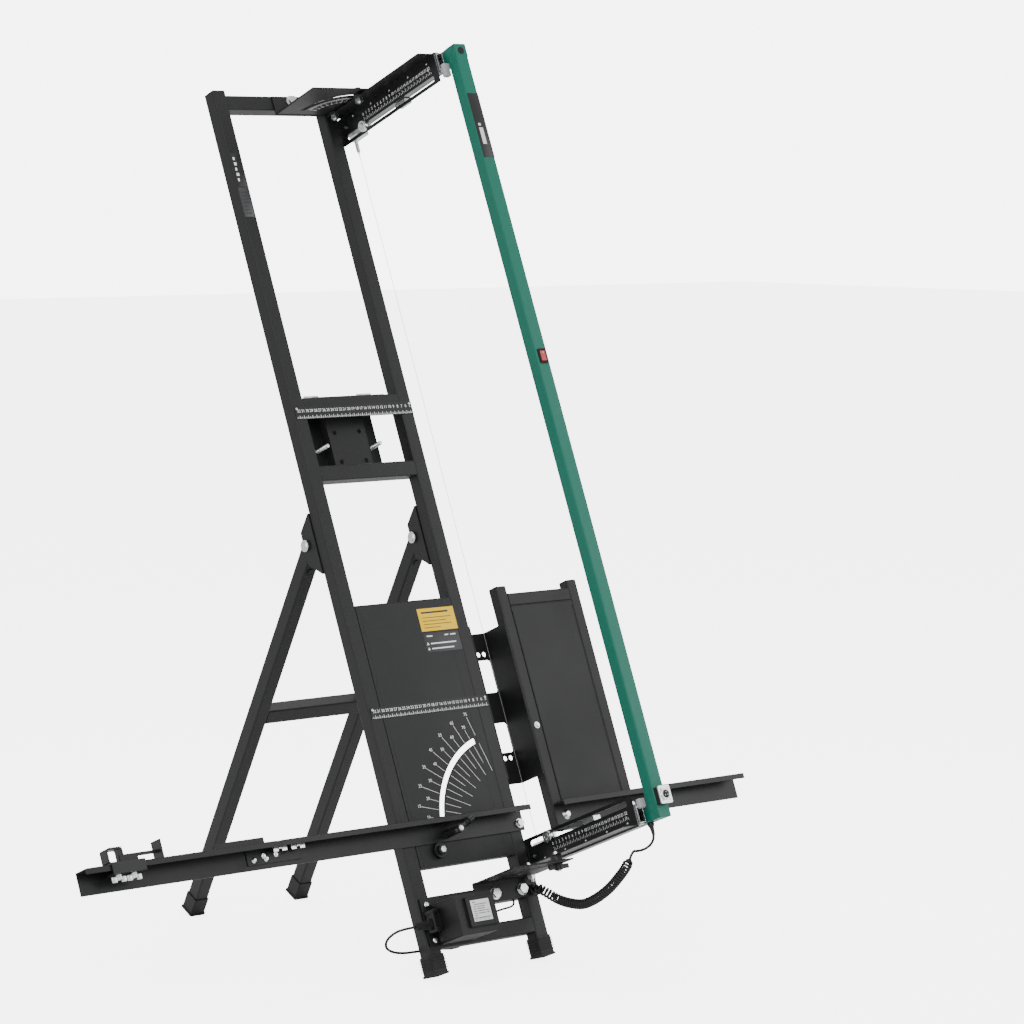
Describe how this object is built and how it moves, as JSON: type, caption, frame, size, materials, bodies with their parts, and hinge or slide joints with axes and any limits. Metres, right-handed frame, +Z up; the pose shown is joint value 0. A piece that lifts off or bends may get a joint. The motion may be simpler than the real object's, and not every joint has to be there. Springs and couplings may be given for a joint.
{
  "type": "hot-wire foam cutter",
  "caption": "Leaning stand with a taut hot wire on a sliding, swinging green bow, tilting rail with fence, side table and transformer, for cutting foam boards.",
  "frame": {"origin": "on the floor, below the middle of the object's box without its cords", "axes": "+X to the right along the rails, +Y back through the leaning board, +Z up"},
  "size_m": [1.572, 1.065, 1.7265],
  "materials": {
    "frame_black": "satin black powder coat",
    "panel_black": "satin black coated sheet",
    "rail_black": "satin black powder coat on folded sheet",
    "stop_metal": "black coat with bright worn edges",
    "cap_black": "moulded black plastic",
    "ruler_scale": "steel rule with printed scale",
    "zinc": "bright zinc plate",
    "lever": "black moulded handle on a zinc stud",
    "spacer_dark": "dark nylon",
    "knob_black": "black moulded wing knob",
    "knob_clear": "clear moulded plastic",
    "bow_green": "turquoise green powder coat",
    "moulding_black": "fine-grained black moulding",
    "rocker_red": "red switch key",
    "wire": "drawn resistance wire",
    "cord_black": "black cord sheath"
  },
  "bodies": {
    "root": {"left_upright": "frame_black", "right_upright": "frame_black", "top_crossbar": "frame_black", "middle_crossbars": "frame_black", "lower_crossbars": "frame_black", "upright_caps": "cap_black", "main_panel": "panel_black", "rulers": "ruler_scale", "side_frame": "frame_black", "side_panel": "panel_black", "link_bracket": "frame_black", "right_rail": "rail_black", "rail_pivot_bolt": "zinc", "rail_rest": "zinc", "lower_swing_bracket": "frame_black", "upper_swing_bracket": "frame_black", "frame_fasteners": "zinc", "transformer_base": "moulding_black", "transformer_housing": "moulding_black", "transformer_core": "zinc", "cord_glands": "moulding_black", "accessory_plate": "frame_black", "wing_knobs": "knob_clear", "leg_hinge_brackets": "frame_black", "leg_hinge_bolts": "zinc", "mains_cord": "cord_black", "mains_coil": "cord_black", "mains_plug": "cord_black", "transformer_lead": "cord_black", "curly_lead": "cord_black"},
    "rear_stand": {"left_rear_leg": "frame_black", "right_rear_leg": "frame_black", "rear_crossbar": "frame_black", "rear_leg_caps": "cap_black"},
    "left_rail": {"inner_rail": "rail_black", "outer_rail": "rail_black", "rail_splice": "rail_black", "splice_fasteners": "zinc"},
    "clamp_lever": {"rail_clamp_lever": "lever"},
    "length_stop": {"length_stop": "stop_metal"},
    "swing_arms": {"upper_arm": "rail_black", "lower_arm": "rail_black", "swing_spacers": "spacer_dark", "arm_fasteners": "zinc", "slide_outer_members": "zinc"},
    "upper_knob": {"upper_clamp_knob": "knob_black"},
    "lower_knob": {"lower_clamp_knob": "knob_black"},
    "upper_stop": {"upper_depth_stop": "zinc"},
    "lower_stop": {"lower_depth_stop": "zinc"},
    "slide_middle": {"slide_middle_members": "zinc"},
    "bow": {"bow_frame": "bow_green", "bow_brackets": "zinc", "bow_fittings": "moulding_black", "slide_inner_members": "zinc", "wire_anchors": "zinc", "cutting_wire": "wire", "switch_housing": "moulding_black", "socket": "zinc", "bow_lead": "cord_black"},
    "rocker": {"rocker": "rocker_red"}
  },
  "joints": [
    {"name": "rear_stand_fold", "type": "hinge", "parent": "root", "child": "rear_stand", "pos_m": [0.072, 0.11729, 0.77454], "axis": [-1, 0, 0], "range_deg": [0, 50]},
    {"name": "rail_tilt", "type": "hinge", "parent": "root", "child": "left_rail", "pos_m": [0.212, -0.16979, 0.24903], "axis": [0, 0.9219, -0.3875], "range_deg": [0, 65]},
    {"name": "clamp_lever_turn", "type": "hinge", "parent": "left_rail", "child": "clamp_lever", "pos_m": [0.034, -0.18592, 0.25581], "axis": [0, -0.9219, 0.3875], "range_deg": [-90, 90]},
    {"name": "length_stop_slide", "type": "slide", "parent": "left_rail", "child": "length_stop", "axis": [1, 0, 0], "range_m": [-0.045, 0.2]},
    {"name": "swing", "type": "hinge", "parent": "root", "child": "swing_arms", "pos_m": [0.196, 0.06633, 0.84944], "axis": [0, -0.3875, -0.9219], "range_deg": [0, 80]},
    {"name": "upper_knob_turn", "type": "hinge", "parent": "swing_arms", "child": "upper_knob", "pos_m": [0.196, 0.30472, 1.63331], "axis": [0, 0.3875, 0.9219], "continuous": true},
    {"name": "lower_knob_turn", "type": "hinge", "parent": "swing_arms", "child": "lower_knob", "pos_m": [0.196, -0.30329, 0.18691], "axis": [0, -0.3875, -0.9219], "continuous": true},
    {"name": "upper_stop_slide", "type": "slide", "parent": "swing_arms", "child": "upper_stop", "axis": [0, -0.9219, 0.3875], "range_m": [-0.05, 0.085]},
    {"name": "lower_stop_slide", "type": "slide", "parent": "swing_arms", "child": "lower_stop", "axis": [0, -0.9219, 0.3875], "range_m": [-0.05, 0.085]},
    {"name": "bow_slide", "type": "slide", "parent": "swing_arms", "child": "bow", "axis": [0, -0.9219, 0.3875], "range_m": [0, 0.28]},
    {"name": "slide_follow", "type": "slide", "parent": "swing_arms", "child": "slide_middle", "axis": [0, -0.9219, 0.3875], "range_m": [0, 0.14]},
    {"name": "rocker_tilt", "type": "hinge", "parent": "bow", "child": "rocker", "pos_m": [0.26, -0.17661, 1.13597], "axis": [1, 0, 0], "range_deg": [-8, 8]}
  ],
  "couplings": [
    {"joint": "slide_follow", "follows": "bow_slide", "ratio": 0.5}
  ]
}
